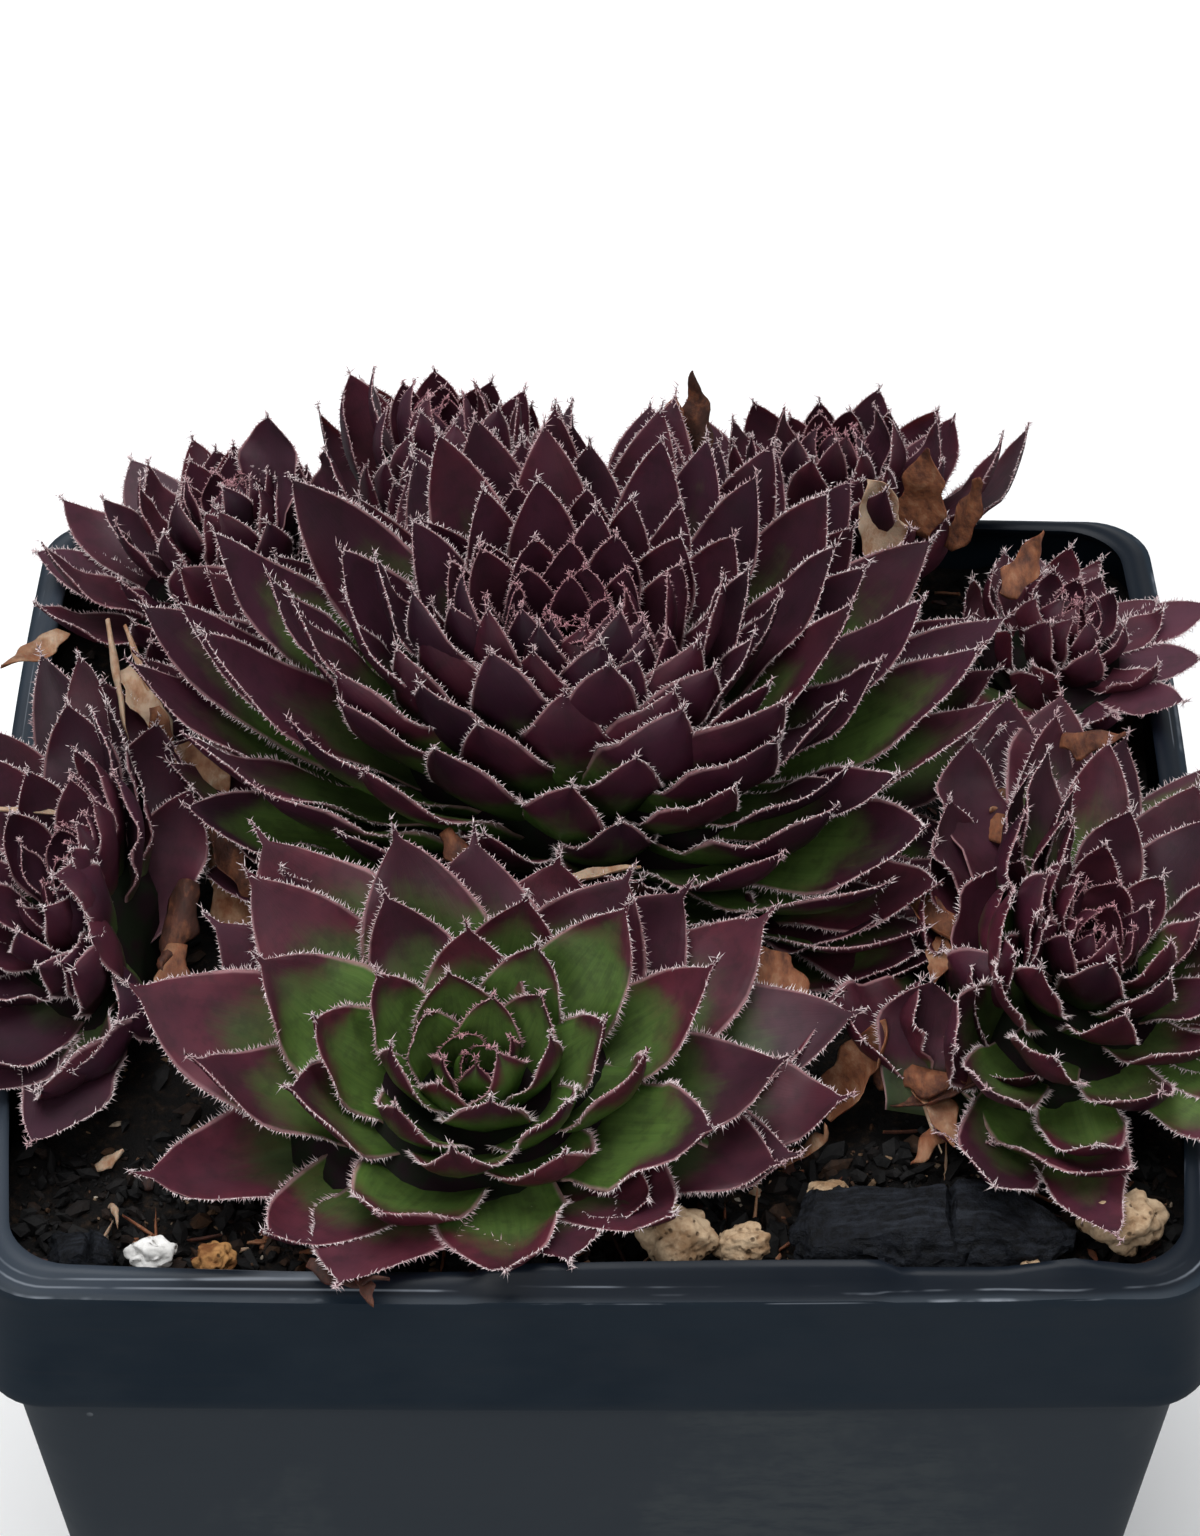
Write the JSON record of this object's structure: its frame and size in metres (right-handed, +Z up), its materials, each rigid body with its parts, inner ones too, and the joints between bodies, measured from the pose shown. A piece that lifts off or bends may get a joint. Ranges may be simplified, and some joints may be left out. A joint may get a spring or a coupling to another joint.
{
  "type": "potted houseleek",
  "caption": "Crowded cluster of pointed, hair-edged purple and green houseleek rosettes in a thin square tapering nursery pot with a stepped collar.",
  "frame": {"origin": "middle of the pot's underside, on the plane the pot stands on", "axes": "+Z up, out of the pot's mouth; the pot's sides face +X, -X, +Y and -Y, and the pictured front faces -Y"},
  "size_m": [0.1107, 0.0954, 0.1079],
  "materials": {
    "pot_plastic": "thin black plastic with a slight blue-grey sheen",
    "growing_mix": "dark, rough, moist bark and peat mix",
    "dark_leaf": "fleshy, satin, dark purple-red with green bases",
    "green_leaf": "fleshy, satin, green with purple-red tips",
    "pumice": "rough, matte, tan",
    "perlite": "rough, matte, off-white",
    "charred_bark": "rough, black",
    "dry_straw": "papery, dry, brown"
  },
  "bodies": {
    "root": {"pot": "pot_plastic", "soil": "growing_mix", "rosette_main": "dark_leaf", "rosette_front": "green_leaf", "rosette_left": "dark_leaf", "rosette_right": "dark_leaf", "rosette_back_left": "dark_leaf", "rosette_back": "dark_leaf", "rosette_back_right": "dark_leaf", "rosette_far_right": "dark_leaf", "pumice_front_a": "pumice", "pumice_front_b": "pumice", "pumice_corner": "pumice", "pumice_edge": "pumice", "pumice_under_right": "pumice", "pumice_left": "pumice", "perlite_left": "perlite", "bark_front": "charred_bark", "bark_left": "charred_bark", "dry_leaf_left": "dry_straw", "dry_leaf_right": "dry_straw", "dry_leaf_front": "dry_straw", "straw_left": "dry_straw"}
  },
  "joints": []
}
